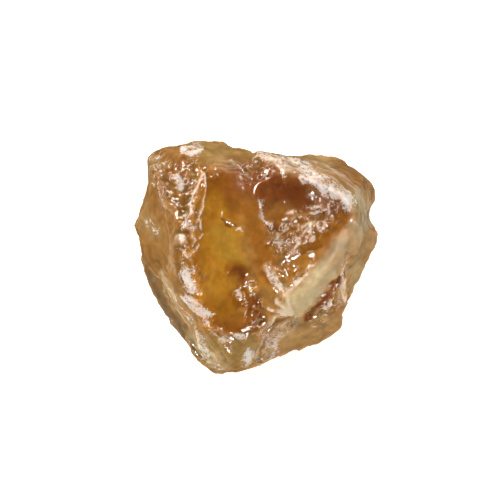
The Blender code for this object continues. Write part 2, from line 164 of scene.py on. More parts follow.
# Fine raised lines, where a splinter's edge stands up: path and height. Their colour carries painted glints
# along them.
RIDGES = (
    (((-13.0, 21.2), (-14.4, 19.6), (-16.0, 16.4), (-16.9, 14.0)), 0.4),
    (((-12.7, 20.8), (-12.5, 17.0), (-13.3, 12.8), (-15.2, 9.8)), 0.4),
    (((-24.8, 19.4), (-23.2, 12.4)), 0.25),
    (((-20.9, 20.0), (-19.2, 19.4), (-18.8, 17.4)), 0.3),
    (((9.0, -14.4), (5.4, -10.4)), 0.3),
    (((9.2, -14.2), (7.6, -9.6)), 0.3),
    (((9.0, -14.6), (3.2, -12.4)), 0.3),
    (((8.4, -13.9), (5.0, -14.7), (3.0, -17.0), (1.2, -21.0), (0.2, -24.8)), 0.25),
    (((-6.6, 24.4), (-3.6, 22.2), (-1.4, 20.6)), 0.2),
    (((3.6, -2.4), (5.2, -5.8), (7.6, -8.6), (10.4, -6.0), (12.6, -3.2)), 0.25),
    (((1.6, 13.6), (1.4, 10.4), (3.2, 8.6)), 0.25),
    (((13.6, 13.2), (16.0, 13.6), (17.8, 12.8)), 0.3),
    (((12.2, 5.6), (14.0, 8.8), (15.4, 9.0)), 0.3),
    (((-22.4, -6.6), (-18.8, -12.4), (-15.0, -17.6)), 0.25),
    (((13.8, 9.0), (14.1, 6.3)), 0.4),
    (((12.2, 7.8), (13.2, 8.8), (14.5, 9.4)), 0.3),
    (((15.6, 8.7), (16.0, 7.8)), 0.35),
    (((17.0, 9.1), (17.1, 7.5)), 0.35),
    (((14.8, 5.6), (14.1, 4.3)), 0.35),
    (((12.9, 4.3), (13.5, 5.3)), 0.3),
    (((10.4, 4.3), (11.6, 5.0)), 0.35),
    (((10.0, 2.1), (11.3, 3.7)), 0.35),
    (((13.5, 11.4), (16.0, 12.4)), 0.35),
    (((14.1, 12.8), (16.0, 13.5)), 0.3),
    (((18.2, 13.8), (18.5, 11.9)), 0.3),
    (((7.8, 11.1), (9.7, 11.6)), 0.3),
    (((9.1, 9.4), (9.9, 10.2)), 0.3),
    (((6.0, 6.2), (7.6, 7.2), (8.1, 7.8)), 0.35),
    (((5.2, 6.1), (5.3, 5.0)), 0.35),
    (((-16.9, 13.8), (-16.2, 11.6), (-17.5, 10.0), (-17.8, 8.4), (-16.2, 7.5), (-15.6, 8.1)), 0.3),
    (((-13.4, 12.4), (-15.0, 9.7)), 0.3),
    (((-14.2, 9.4), (-14.0, 7.5)), 0.4),
    (((-13.7, 6.2), (-14.5, 5.0)), 0.4),
    (((-15.0, 2.1), (-14.0, 3.1)), 0.4),
    (((-16.2, 6.9), (-15.6, 4.3), (-16.2, 3.1)), 0.25),
    (((-18.8, 2.4), (-17.2, 0.2), (-16.2, -0.4)), 0.25),
    (((-15.6, 1.8), (-16.9, 0.2)), 0.25),
    (((-15.8, -2.0), (-15.9, -3.2)), 0.3),
    (((17.6, -12.7), (18.6, -10.8)), 0.4),
    (((21.9, -5.1), (21.6, -6.4)), 0.35),
    (((22.0, -8.9), (22.2, -10.5)), 0.35),
)
RIDGE_WIDTH = 0.4

# Small round knobs: place, radius and height.
BEADS = (
    ((-18.6, 4.5), 1.6, 1.0),
    ((-4.6, -9.4), 1.6, 0.6),
    ((-4.1, -19.8), 1.2, 0.6),
    ((-17.2, 0.8), 0.9, 0.4),
    ((17.6, -12.2), 1.6, 0.8),
    ((19.6, -10.6), 1.1, 0.6),
    ((5.6, 6.4), 0.9, 0.4),
    ((9.4, 10.6), 1.0, 0.4),
    ((-19.3, 19.0), 1.1, 0.5),
)

# Crests covered in crumbs: the path, how far the crumbs reach, and how thick they lie.
CRUSTS = (
    (((-13.0, 21.5), (-16.4, 15.0), (-17.2, 10.0), (-18.2, 4.5), (-17.4, 0.5), (-16.4, -4.0)), 2.8, 0.55),
    (((-17.6, -4.0), (-16.8, -8.0), (-13.6, -12.6), (-11.4, -17.0), (-8.6, -19.6)), 2.2, 0.8),
    (((-25.6, 25.0), (-24.4, 19.0), (-22.4, 16.6)), 2.4, 0.7),
    (((-22.0, 22.6), (-20.0, 18.8), (-16.4, 23.4)), 3.4, 0.5),
    (((0.0, 25.6), (5.0, 25.0), (10.0, 23.8), (14.0, 20.6), (18.6, 17.4), (23.6, 14.6)), 2.4, 0.8),
    (((5.4, 4.0), (8.6, 3.0), (10.0, 1.6)), 2.0, 0.6),
    (((13.0, 7.0), (15.6, 11.0)), 2.4, 0.2),
    (((4.0, -20.0), (6.6, -17.4), (9.6, -15.6)), 2.0, 0.7),
    (((17.4, -12.4), (19.4, -10.6)), 1.6, 0.3),
    (((-1.6, -9.6), (-1.0, -13.4), (-2.6, -17.0)), 2.0, 0.2),
    (((-11.6, 21.0), (-9.0, 21.4)), 1.8, 0.4),
    (((-7.4, -21.6), (-6.6, -23.4)), 1.6, 0.4),
    (((13.4, 15.6), (14.8, 15.0)), 1.8, 0.35),
    (((1.4, 21.2), (3.0, 20.6)), 1.6, 0.4),
    (((5.4, 21.2), (7.2, 20.6)), 1.6, 0.4),
    (((-20.8, 13.9), (-18.2, 12.4)), 1.7, 0.4),
)
CRUMB_SIZE = 1.0
CRUMB_HEIGHT = 0.2
SPLINTER_SIZE = 2.3
SPLINTER_TILT = 0.16

# Faces that broke in small rounded waves: the path, how far they reach, and how high they are.
WAVES = (
    (((6.6, 5.4), (10.0, 7.4), (14.0, 8.0), (17.0, 12.0)), 6.2, 0.34),
    (((4.0, 19.5), (6.5, 19.0)), 2.2, 0.14),
    (((-17.0, 13.0), (-17.4, 0.0), (-15.4, -8.0)), 3.4, 0.2),
    (((-25.0, 24.0), (-20.0, 19.0), (-16.5, 22.5)), 5.0, 0.22),
    (((-1.8, -7.4), (-1.0, -12.0), (0.0, -17.0)), 4.2, 0.3),
    (((15.0, -15.6), (18.4, -13.0), (21.0, -10.0)), 3.6, 0.22),
    (((-2.0, 22.0), (3.0, 22.5)), 4.0, 0.2),
    (((4.0, -3.0), (11.0, -4.0)), 3.5, 0.2),
)
WAVE_SIZE = 2.1
PLAIN_WAVE = 0.05

# The swell of the glossy faces, their finer ripple, and the layers that show on the steep sides.
SWELL_SIZE, SWELL_HEIGHT = 4.2, 0.22
RIPPLE_SIZE, RIPPLE_HEIGHT = 1.5, 0.05
LAYER_NORMAL = (0.25, -0.2, 0.95)
LAYER_THICKNESS = 1.9
LAYER_STEP = 0.22

# Heights over the floor, from where a thing starts to where it is full: softening, marks and pale rims.
SOFTENED_FROM = (1.0, 4.0)
MARKED_FROM = (0.0, 1.2)
RIM_FROM = (4.0, 11.0)
# How far a face turns up, from where it counts as a side to where it counts as the top.
FACING_UP = (0.0, 0.35)
# Paths wander by this much, so that no mark is a clean line.
WANDER = 0.7

# Clouds that shape the marks: their size, their octaves and, for some, how they are stretched.
DRIFTS = ((5.0, 3), (5.3, 3, (1.0, 0.9, 1.2)))
SWELL = (SWELL_SIZE, 2)
RIPPLE = (RIPPLE_SIZE, 3)
SIDE_CRUST = (9.0, 3)
WAVE = (WAVE_SIZE, 2, (1.0, 0.8, 1.0))
# Where the sides are crusted, in their cloud, and how strongly waves and crumbs show there.
SIDE_CRUST_FROM = (0.25, 0.7)
SIDE_WAVES = 0.25
SIDE_CRUMBS = 0.6
# A crumb's height at its middle, and how fast it falls away from there.
CRUMB_TOP, CRUMB_FALL = 0.55, 1.3
# How strongly splinters show where the stone has no crust.
PLAIN_SPLINTERS = 0.25
# The share of a layer over which its edge rises.
LAYER_EDGE = 0.1

# Small ridges get painted light and small hollows painted shade: how far each point is compared, and the full
# height.
RELIEF_SOFTENINGS = 10
RELIEF_HEIGHT = 0.14


def welded_copy(node):
    """An object with a copy of a solid's mesh, its split corners joined."""
    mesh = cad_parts[node].data.copy()
    body = bmesh.new()
    body.from_mesh(mesh)
    bmesh.ops.remove_doubles(body, verts=body.verts, dist=WELD)
    body.to_mesh(mesh)
    body.free()
    made = bpy.data.objects.new("stone", mesh)
    bpy.context.scene.collection.objects.link(made)
    return made


def fine_skin(rough):
    """The same body as one fine even mesh, in place of the rough one, with a single face underneath."""
    skin = rough.modifiers.new("skin", "REMESH")
    skin.mode = "VOXEL"
    skin.voxel_size = SKIN_CELL * MM
    ease = rough.modifiers.new("ease", "SMOOTH")
    ease.iterations = SKIN_SMOOTHINGS
    graph = bpy.context.evaluated_depsgraph_get()
    mesh = bpy.data.meshes.new_from_object(rough.evaluated_get(graph))
    rough.modifiers.clear()
    rough.data = mesh
    body = bmesh.new()
    body.from_mesh(mesh)
    level = UNDERNEATH * SKIN_CELL * MM
    under = [face for face in body.faces if all(vert.co.z < level for vert in face.verts)]
    bmesh.ops.dissolve_faces(body, faces=under, use_verts=True)
    body.to_mesh(mesh)
    body.free()
    return rough


def get_vectors(collection, name):
    values = np.empty(len(collection) * 3)
    collection.foreach_get(name, values)
    return values.reshape(-1, 3)


def set_points(mesh, points):
    mesh.vertices.foreach_set("co", (points * MM).ravel())
    mesh.update()


def soften(mesh, points, share, rounds):
    """Draws each point towards the middle of its neighbours by its own share, over and over."""
    ends = np.empty(len(mesh.edges) * 2, dtype=np.int64)
    mesh.edges.foreach_get("vertices", ends)
    ends = ends.reshape(-1, 2)
    here = np.concatenate([ends[:, 0], ends[:, 1]])
    there = np.concatenate([ends[:, 1], ends[:, 0]])
    count = len(points)
    number = np.bincount(here, minlength=count)[:, None]
    for _ in range(rounds):
        total = np.stack([np.bincount(here, points[there, axis], count) for axis in range(3)], axis=1)
        points = points + share[:, None] * (total / number - points)
    return points


class Noises:
    """Noise fields over the stone, each a number for each point."""

    def __init__(self, points):
        self.places = [Vector(point) for point in points]
        self.shift = Vector(NOISE_SHIFT) * SEED

    def cloud(self, size, octaves=2, stretch=(1.0, 1.0, 1.0)):
        """Soft clouds between about -1 and 1."""
        scale = Vector(stretch) / size
        return np.array([noise.fractal(p * scale + self.shift, 1.0, 2.0, octaves) for p in self.places])

    def pair(self, clouds):
        """Two cloud fields side by side, for moving places about."""
        return np.stack([self.cloud(*cloud) for cloud in clouds], axis=1)

    def cells(self, size):
        """The distance to the nearest of many scattered seeds, in seed spacings."""
        return np.array([noise.voronoi(p / size + self.shift)[0][0] for p in self.places])

    def facets(self, size):
        """A patchwork of flat facets, each tilted its own way, in seed spacings."""
        heights = []
        for p in self.places:
            place = p / size + self.shift
            cell = noise.voronoi(place)[1][0]
            tilt = noise.cell_vector(cell * CELL_SPACING) * 2.0 - Vector((1.0, 1.0, 1.0))
            heights.append((place - cell).dot(tilt))
        return np.array(heights)


def spread(distance, reach, full=SPOT_FULL):
    """A soft spot: full out to a share of its reach, and gone at its reach."""
    return smooth_step(reach, full * reach, distance)


def strongest(places, paths, full=SPOT_FULL):
    """The strongest of several soft bands at each place, each a path, a reach and a strength."""
    share = np.zeros(len(places))
    for path, reach, strength in paths:
        share = np.maximum(share, strength * spread(beside(places, path)[0], reach, full))
    return share


def soften_hollows(mesh, points):
    """Wears the creases of the hollows soft, clear of the foot."""
    clear_of_foot = smooth_step(*SOFTENED_FROM, points[:, 2])
    hollow = strongest(seen(points), [(path, reach, 1.0) for path, reach in SOFTENED]) * clear_of_foot
    return soften(mesh, points, SOFTENING_SHARE * hollow, SOFTENINGS)


def lower_ledges(lift, places, up):
    """Drops the skin on one side of each ledge, and lets it come back to level further on."""
    for path, drop, fade in LEDGES:
        distance, side, past_end, _ = beside(places, path)
        beyond = distance * side * math.copysign(1.0, drop)
        share = smooth_step(-LEDGE_EDGE, LEDGE_EDGE, beyond) * np.exp(-np.maximum(beyond, 0.0) / fade)
        lift -= up * abs(drop) * share * np.exp(-LEDGE_END * past_end)


def raise_lines(lift, places, up):
    """Raises the edges of the splinters, and returns how high they stand at each point."""
    lines = np.zeros(len(places))
    for path, height in RIDGES:
        distance, _, past_end, _ = beside(places, path)
        line = up * height * np.exp(-(distance / RIDGE_WIDTH) ** 2 - past_end)
        lift += line
        lines = np.maximum(lines, line)
    return lines


def raise_beads(lift, places, up):
    for place, radius, height in BEADS:
        distance = np.linalg.norm(places - np.array(place), axis=1)
        lift += up * height * np.sqrt(np.clip(1.0 - (distance / radius) ** 2, 0.0, 1.0))


def break_up(lift, places, up, fields):
    """Roughens the waved and the crusted faces, and returns the fields that say where and how."""
    crust = strongest(places, CRUSTS) * up
    side_crust = (1.0 - up) * smooth_step(*SIDE_CRUST_FROM, fields.cloud(*SIDE_CRUST))
    waves = np.abs(fields.cloud(*WAVE))
    waved = strongest(places, WAVES) * up
    lift += (PLAIN_WAVE + waved + SIDE_WAVES * side_crust) * 2.0 * waves
    crumbs = fields.cells(CRUMB_SIZE)
    splinters = fields.facets(SPLINTER_SIZE)
    lift += (crust + SIDE_CRUMBS * side_crust) * CRUMB_HEIGHT * (CRUMB_TOP - CRUMB_FALL * crumbs)
    lift += (PLAIN_SPLINTERS + crust + side_crust) * SPLINTER_TILT * SPLINTER_SIZE * splinters * 0.5
    return {"crust": crust, "side_crust": side_crust, "splinters": splinters, "waved": waved}


def show_layers(lift, points, drift, up):
    """Steps the sides where the stone's layers end."""
    level = points @ np.array(LAYER_NORMAL) / LAYER_THICKNESS + 0.5 * drift[:, 0]
    step = level - np.floor(level)
    lift += (1.0 - up) * LAYER_STEP * (0.5 - step) * smooth_step(0.0, LAYER_EDGE, step)


def relief(mesh, points, normals):
    """How far each point stands out of the skin around it, or lies below it, from -1 to 1."""
    everywhere = np.ones(len(points))
    raised = ((points - soften(mesh, points, everywhere, RELIEF_SOFTENINGS)) * normals).sum(axis=1)
    return np.clip(raised / RELIEF_HEIGHT, -1.0, 1.0)


def wear_in(stone):
    """Works the small marks into the stone's skin, and returns the fields that its colours share."""
    mesh = stone.data
    points = soften_hollows(mesh, get_vectors(mesh.vertices, "co") / MM)
    set_points(mesh, points)
    normals = get_vectors(mesh.vertices, "normal")
    fields = Noises(points)
    drift = fields.pair(DRIFTS)
    places = seen(points) + WANDER * drift
    up = smooth_step(*FACING_UP, normals[:, 2])
    lift = SWELL_HEIGHT * fields.cloud(*SWELL) + RIPPLE_HEIGHT * fields.cloud(*RIPPLE)
    lower_ledges(lift, places, up)
    lines = raise_lines(lift, places, up)
    raise_beads(lift, places, up)
    broken = break_up(lift, places, up, fields)
    show_layers(lift, points, drift, up)
    standing = smooth_step(*MARKED_FROM, points[:, 2])
    points += normals * (lift * standing)[:, None]
    points[:, 2] = np.maximum(points[:, 2], 0.0)
    set_points(mesh, points)
    mesh.shade_smooth()
    return {**broken, "raised": relief(mesh, points, normals), "places": places, "up": up,
            "fields": fields, "lines": lines, "high": smooth_step(*RIM_FROM, points[:, 2])}


# ---- colours ----------------------------------------------------------------------------------

# What the crystal's depth does to a colour, in red, green and blue.
DEPTH_TINT = (1.1, 1.06, 1.03)


def srgb(red, green, blue):
    """A linear colour from the red, green and blue of a screen, each up to 255."""
    values = np.array((red, green, blue)) / 255.0
    return np.where(values <= 0.04045, values / 12.92, ((values + 0.055) / 1.055) ** 2.4)


def crystal(red, green, blue):
    """The surface colour that, tinted by the crystal's depth, gives a colour on a screen."""
    return srgb(red, green, blue) / np.array(DEPTH_TINT)


FLANK = crystal(170, 128, 74)
HONEY = crystal(176, 130, 70)
TAN = crystal(188, 150, 100)
OLIVE = crystal(172, 141, 87)
SMOKE = crystal(190, 156, 112)
LOBE = crystal(162, 114, 62)
GOLD = crystal(206, 147, 48)
LIT_GOLD = crystal(196, 154, 62)
AMBER = crystal(200, 132, 38)
BOWL = crystal(172, 112, 42)
BROWN = crystal(160, 100, 28)
RUST = crystal(140, 81, 38)
DARK = crystal(124, 65, 28)
SHADED_SEAM = crystal(130, 76, 38)
RIM = crystal(184, 156, 120)
PALE = crystal(190, 164, 118)
STRIP = crystal(198, 177, 130)
STRIP_TOP = crystal(164, 138, 96)
SHADE_UMBER = crystal(136, 112, 82)
NOTCH = crystal(204, 184, 152)
LUMP = crystal(158, 111, 58)
CREST = crystal(148, 102, 42)
CHALK = srgb(207, 203, 202)
MILK = srgb(210, 190, 166)

# How far the edges of soft and of sharp washes stray, and how pale the rim is.
SOFT_STRAY = 1.3
SHARP_STRAY = 0.35
RIM_SHARE = 0.7
# A soft wash is gone at the first of these shares of its reach, and full within the second.
SOFT_EDGE = (1.15, 0.15)

# Clouds that place the colours: their size, their octaves and, for some, how they are stretched.
STRAYS = ((3.2, 4), (3.5, 4, (0.9, 1.0, 1.1)))
PATCHES = (11.0, 3)
STREAKS = (6.0, 4, (1.0, 1.0, 3.0))
VEINS = (3.4, 4)
SIDE_CHALK = (5.0, 3)
# Washes over the sides: colour, field and its sign, where it starts and is full, and strength.
SIDE_WASHES = (
    (BROWN, "patches", 1.0, (0.05, 0.5), 0.8),
    (RUST, "streaks", 1.0, (0.25, 0.7), 0.6),
    (PALE, "streaks", -1.0, (0.2, 0.6), 0.7),
    (GOLD, "patches", -1.0, (0.2, 0.55), 0.6),
)
# How much veins and splinters lighten or darken a colour, and how much small ridges get painted light
# and small hollows painted shade.
VEIN_TONE = 0.12
SPLINTER_TONE = 0.12
PAINTED_RELIEF_SHADING = 0.16

# Washes of colour, from the broadest to the smallest: colour, path, reach and strength.
WASHES = (
    (FLANK, ((-26.0, 20.0), (-23.0, 8.0), (-24.0, -4.0), (-18.0, -16.0)), 9.0, 0.8),
    (TAN, ((2.0, -24.0), (12.0, -19.0), (19.0, -15.0)), 8.0, 0.85),
    (SMOKE, ((16.0, 23.4), (25.0, 19.0), (27.5, 13.0), (27.0, 4.0)), 6.0, 0.8),
    (LOBE, ((21.6, 22.2), (24.6, 20.0), (26.8, 16.8)), 3.4, 1.0),
    (LOBE, ((28.2, 6.6), (26.6, 3.6)), 2.6, 0.4),
    (OLIVE, ((-13.0, 26.5), (-7.0, 25.0), (-3.0, 24.0)), 5.5, 0.85),
    (SMOKE, ((-9.0, 22.4), (-2.0, 21.4)), 3.0, 0.6),
    (LUMP, ((-24.0, 24.0), (-21.0, 18.0), (-17.0, 22.0)), 6.5, 0.9),
    (LUMP, ((-24.6, 15.0), (-23.0, 10.0)), 3.4, 0.7),
    (RUST, ((-21.0, 22.0), (-18.0, 23.6)), 2.6, 0.5),
    (CREST, ((-20.6, 17.6), (-17.6, 17.0)), 4.0, 0.9),
    (CREST, ((-17.6, 15.0), (-17.6, 6.0), (-17.4, 0.0), (-15.6, -7.0)), 4.6, 0.9),
    (BROWN, ((-15.6, 8.0), (-15.4, -1.0)), 2.2, 0.5),
    (AMBER, ((-11.0, 19.0), (-12.0, 8.0), (-12.5, -2.0), (-12.0, -12.0), (-9.0, -17.0)), 5.4, 0.85),
    (BROWN, ((-10.0, 20.0), (-9.6, 14.0)), 4.6, 0.95),
    (GOLD, ((-8.6, 11.0), (-8.6, 5.0), (-8.0, -1.0), (-9.6, -8.0), (-8.8, -12.0)), 7.2, 1.0),
    (LIT_GOLD, ((-8.5, 6.0), (-7.5, 2.0), (-5.4, -1.0)), 4.0, 0.8),
    (BROWN, ((-11.4, -13.0), (-8.0, -15.6), (-4.6, -16.0)), 4.4, 0.6),
    (BROWN, ((-6.0, 20.0), (-4.6, 13.0)), 3.8, 0.75),
    (RUST, ((-3.0, 20.0), (3.0, 17.0), (9.0, 17.5), (15.0, 15.0), (20.0, 12.0)), 7.5, 0.95),
    (DARK, ((6.0, 17.5), (11.0, 16.5)), 5.0, 0.6),
    (RUST, ((1.0, 21.6), (6.0, 21.6)), 3.0, 0.9),
    (BROWN, ((-0.5, 12.0), (1.6, 2.0), (2.6, -4.0)), 3.8, 0.8),
    (BOWL, ((6.0, 9.0), (14.0, 7.0), (20.0, 8.0)), 5.0, 0.8),
    (BROWN, ((4.0, 3.0), (12.0, 5.0), (15.0, 2.0)), 3.8, 0.6),
    (BROWN, ((20.4, 9.4), (17.6, 4.0)), 3.2, 0.7),
    (GOLD, ((15.4, 0.6), (12.0, -2.6), (8.0, -3.6)), 3.4, 0.2),
    (BOWL, ((5.0, -2.0), (11.0, -3.4)), 3.0, 0.6),
    (BROWN, ((14.8, 1.8), (9.6, -1.4)), 3.0, 0.5),
    (BROWN, ((-6.2, -2.6), (-3.4, -4.4), (-2.4, -6.6)), 2.8, 0.9),
    (DARK, ((-4.4, -3.6), (-3.2, -5.6)), 1.6, 0.7),
    (BROWN, ((-5.0, -11.0), (-1.6, -12.0), (-1.0, -17.0)), 4.6, 0.9),
    (DARK, ((-1.0, -11.4), (0.6, -15.0)), 2.6, 0.7),
    (GOLD, ((1.4, -6.0), (-1.6, -7.6), (-2.6, -8.6)), 1.7, 0.5),
    (HONEY, ((3.0, -9.0), (5.4, -12.6)), 2.8, 0.8),
    (OLIVE, ((-10.0, -22.0), (-5.0, -24.0), (-2.0, -22.0)), 4.5, 0.8),
    (BROWN, ((-6.6, -18.0), (-7.0, -21.4)), 2.0, 0.5),
    (BROWN, ((5.6, -15.6), (3.0, -18.6), (1.6, -22.6)), 1.2, 0.8),
    (TAN, ((22.6, 3.4), (19.0, -1.6)), 3.6, 0.95),
    (STRIP, ((17.6, -3.4), (14.6, -7.0), (9.6, -12.6)), 3.6, 1.0),
    (PALE, ((14.0, -8.8), (9.8, -13.0)), 2.8, 0.9),
    (SMOKE, ((27.0, 4.5), (25.0, -1.0), (24.0, -5.0)), 2.6, 0.7),
    (PALE, ((24.8, 15.4), (26.8, 12.6), (27.8, 9.8)), 3.0, 1.0),
    (TAN, ((22.8, 4.8), (25.2, 8.8), (27.4, 10.6)), 2.2, 0.8),
    (PALE, ((26.0, -2.0), (24.4, -7.4)), 2.2, 0.9),
    (NOTCH, ((25.2, 14.8), (26.8, 12.4), (27.6, 9.4), (25.6, 7.4)), 2.4, 0.85),
    (MILK, ((5.0, 24.8), (9.0, 23.8), (13.0, 22.2)), 1.6, 0.7),
    # A painted reflection: a pale blotch on the left flank.
    (PALE, ((-27.6, 9.6), (-25.4, 6.8)), 2.6, 0.4),
    (PALE, ((-27.6, 25.6), (-25.0, 23.6)), 3.0, 0.4),
    (MILK, ((-18.9, 4.9), (-18.5, 4.2)), 1.3, 0.7),
    (LUMP, ((-26.5, 1.0), (-25.0, -3.0)), 3.4, 0.5),
    # A reddish-brown seam right of the strip, darkened further with painted shade in its crease.
    (SHADED_SEAM, ((21.8, -4.6), (19.8, -7.8), (16.0, -11.8), (12.6, -14.8)), 1.8, 1.0),
    (RUST, ((18.4, -12.0), (20.6, -12.8)), 2.8, 0.5),
    (RUST, ((-9.0, -16.8), (-5.0, -17.6), (-1.0, -17.2)), 2.0, 0.5),
    # Painted shade down the steep lower-left side, where it turns under.
    (SHADE_UMBER, ((-28.6, -4.0), (-24.0, -12.0), (-19.6, -18.4), (-16.0, -24.0)), 2.6, 0.9),
    (PALE, ((-23.6, -5.0), (-19.4, -12.6), (-15.4, -18.4), (-13.6, -22.4), (-10.6, -26.0)), 1.6, 0.7),
    (PALE, ((-15.4, -20.6), (-12.6, -24.4), (-8.4, -27.4)), 3.0, 0.9),
    (DARK, ((2.8, 8.0), (4.6, 7.2)), 1.5, 0.8),
    (DARK, ((-7.6, 9.6), (-5.4, 8.2)), 0.8, 0.9),
    (DARK, ((-18.8, 19.3), (-17.0, 18.7)), 0.8, 0.8),
)

# Washes that stop at a sharp edge, painted after the others: colour, path, reach and strength.
SHARP_WASHES = (
    (STRIP_TOP, ((25.4, 10.4), (24.4, 7.0), (21.9, 2.2)), 1.7, 0.5),
    (STRIP_TOP, ((21.9, 2.2), (18.2, -3.0)), 2.7, 0.7),
    (STRIP, ((17.6, -3.8), (14.6, -7.4)), 3.1, 0.6),
    (STRIP, ((14.6, -7.4), (9.8, -12.4)), 2.7, 0.95),
    # The seam's sharp edge: reddish-brown, with painted shade in its crease.
    (SHADED_SEAM, ((21.8, -4.4), (20.6, -6.6), (17.4, -10.2), (12.8, -14.4)), 1.0, 0.9),
)
# A sharp wash is full out to this share of its reach.
SHARPNESS = 0.7

# Dry chalk, with some painted glints, highlights and reflections among it: path, reach and strength.
CHALKS = (
    (((-18.0, 27.4), (-16.4, 26.6), (-14.8, 27.4)), 2.0, 0.85),
    # A painted reflection: the pale blotch on the left flank.
    (((-27.0, 8.8), (-25.8, 7.2)), 1.9, 0.4),
    (((-27.2, 26.0), (-25.0, 25.2)), 1.6, 0.36),
    (((-17.7, -3.4), (-17.2, -5.8), (-16.2, -7.8)), 1.7, 0.9),
    (((-17.6, -10.2), (-15.2, -11.8), (-12.6, -14.0)), 1.8, 0.9),
    (((-12.8, -15.4), (-12.0, -17.4)), 1.2, 0.5),
    (((-11.4, -18.2), (-9.6, -19.6), (-7.8, -20.2)), 1.4, 0.5),
    (((-4.8, -19.6), (-3.4, -20.1)), 1.3, 0.75),
    (((-5.0, -8.8), (-4.2, -9.8)), 1.5, 0.55),
    (((-2.2, -26.0), (-1.5, -23.6)), 1.9, 0.7),
    (((1.0, -25.6), (3.6, -24.6), (6.0, -23.6)), 1.3, 0.4),
    (((3.4, -21.0), (5.4, -22.4)), 1.7, 0.45),
    (((5.8, -18.8), (9.4, -16.2)), 1.5, 0.35),
    (((-13.4, -25.2), (-10.2, -27.4), (-8.6, -27.8)), 1.4, 0.5),
    (((-14.6, -19.6), (-13.4, -22.0), (-12.6, -24.4)), 1.5, 0.65),
    (((0.1, 26.2), (5.2, 25.2), (9.4, 24.4)), 1.6, 0.6),
    (((10.6, 23.8), (13.6, 21.8), (16.4, 20.2)), 1.9, 0.7),
    (((12.2, 20.6), (15.6, 19.2), (18.2, 17.2), (20.4, 15.8)), 2.2, 0.85),
    (((20.8, 16.6), (23.0, 15.2), (23.0, 13.0)), 2.0, 0.85),
    (((1.3, 14.0), (1.6, 11.4), (2.3, 9.2), (4.0, 8.6)), 1.1, 0.55),
    (((5.4, 4.4), (7.6, 3.2), (9.6, 1.6)), 1.9, 0.42),
    # A painted glint beside the small dark crack in the trough.
    (((-4.8, 6.8), (-3.9, 7.3)), 0.9, 0.5),
    # The two arms of the V-shaped lip under the bowl: a whitish bruise, made paler with a painted reflection.
    (((3.7, -3.0), (4.8, -5.4), (6.4, -7.8)), 1.3, 0.65),
    (((12.5, -3.6), (10.6, -5.8), (9.0, -7.6)), 1.1, 0.55),
    # A painted highlight: the white star on the top-left lump.
    (((-19.9, 20.6), (-19.0, 18.8), (-18.7, 17.2)), 1.1, 0.85),
    (((6.4, -19.0), (3.6, -22.4)), 1.6, 0.4),
    (((-17.6, 12.2), (-17.0, 9.4), (-15.9, 7.4)), 1.0, 0.45),
    (((-18.8, 5.0), (-18.4, 4.4)), 1.2, 0.75),
    (((-8.2, -20.2), (-6.6, -20.5)), 1.3, 0.6),
    # Painted glints: the cluster on the lower-right lobe.
    (((17.2, -12.4), (18.4, -10.9)), 0.9, 0.6),
    (((22.4, -1.6), (22.0, -5.6), (22.2, -9.4)), 0.9, 0.45),
    (((-24.4, -5.6), (-20.0, -12.6), (-15.6, -18.0)), 0.6, 0.42),
)

# Chalk thins out over its edge, to this many times its reach, from this share of that. Its dusty part
# strays further than its streaks, and each has a strength.
CHALK_FADE = 1.35
CHALK_FULL = 0.05
DUST_STRAY = 0.5
DUST_STRENGTH, STREAK_STRENGTH = 0.75, 0.5
# Chalk on the sides: where it starts and is full, in its cloud, and its strength.
SIDE_CHALK_FROM = (0.1, 0.5)
SIDE_CHALK_STRENGTH = 0.5

# Milky veils, with some painted highlights and reflections among them: path, reach and strength.
VEILS = (
    (((-10.4, 23.4), (-5.0, 22.8), (-1.6, 21.6)), 2.6, 0.5),
    (((3.0, 25.6), (8.0, 24.4), (13.0, 22.8)), 2.6, 1.0),
    (((15.4, 22.6), (20.6, 20.0), (24.4, 16.6)), 3.4, 0.9),
    (((14.0, 16.4), (19.0, 13.4)), 2.4, 0.3),
    # The two arms of the V-shaped lip under the bowl: a whitish bruise, made paler with a painted reflection.
    (((3.4, -2.4), (5.0, -5.6), (7.6, -9.0)), 1.9, 1.0),
    (((13.0, -3.0), (10.6, -5.8), (8.0, -9.2)), 1.8, 1.0),
    (((9.0, -14.4), (5.4, -10.4)), 0.9, 0.8),
    (((9.2, -14.2), (7.8, -9.6)), 0.9, 0.8),
    (((9.0, -14.6), (3.4, -12.4)), 0.9, 0.6),
    (((8.4, -13.9), (5.0, -14.7), (3.0, -17.0), (1.2, -21.0), (0.2, -24.8)), 1.2, 0.9),
    (((9.6, -15.6), (6.6, -17.8), (4.4, -21.0), (2.4, -24.8)), 2.9, 0.95),
    (((-23.8, -4.6), (-19.6, -12.4), (-15.6, -18.2), (-13.6, -22.4), (-10.6, -26.4)), 2.0, 0.9),
    (((-20.8, -1.6), (-17.8, -10.4), (-13.6, -16.8)), 1.2, 0.5),
    (((-24.8, 19.6), (-23.2, 12.2), (-21.0, 10.8), (-20.9, 5.4), (-21.6, -2.4)), 1.1, 0.6),
    (((22.4, -3.2), (22.4, -7.4), (22.0, -10.8)), 1.5, 1.0),
    (((-18.9, 5.0), (-18.3, 4.1)), 1.4, 0.7),
    (((27.6, 18.0), (28.0, 12.0)), 1.8, 0.4),
    # A painted highlight: the white star on the top-left lump.
    (((-19.8, 20.8), (-18.8, 17.4)), 1.4, 0.5),
    (((5.2, 4.6), (10.0, 1.4)), 2.2, 0.35),
    (((1.2, 14.4), (1.6, 10.0), (3.6, 8.6)), 1.6, 0.4),
    (((-8.4, -19.4), (-8.0, -21.6)), 1.6, 0.5),
    # The bottom of the V: a whitish bruise, made paler with a painted reflection.
    (((6.2, -7.0), (8.2, -7.8), (10.2, -6.8)), 1.7, 0.95),
)
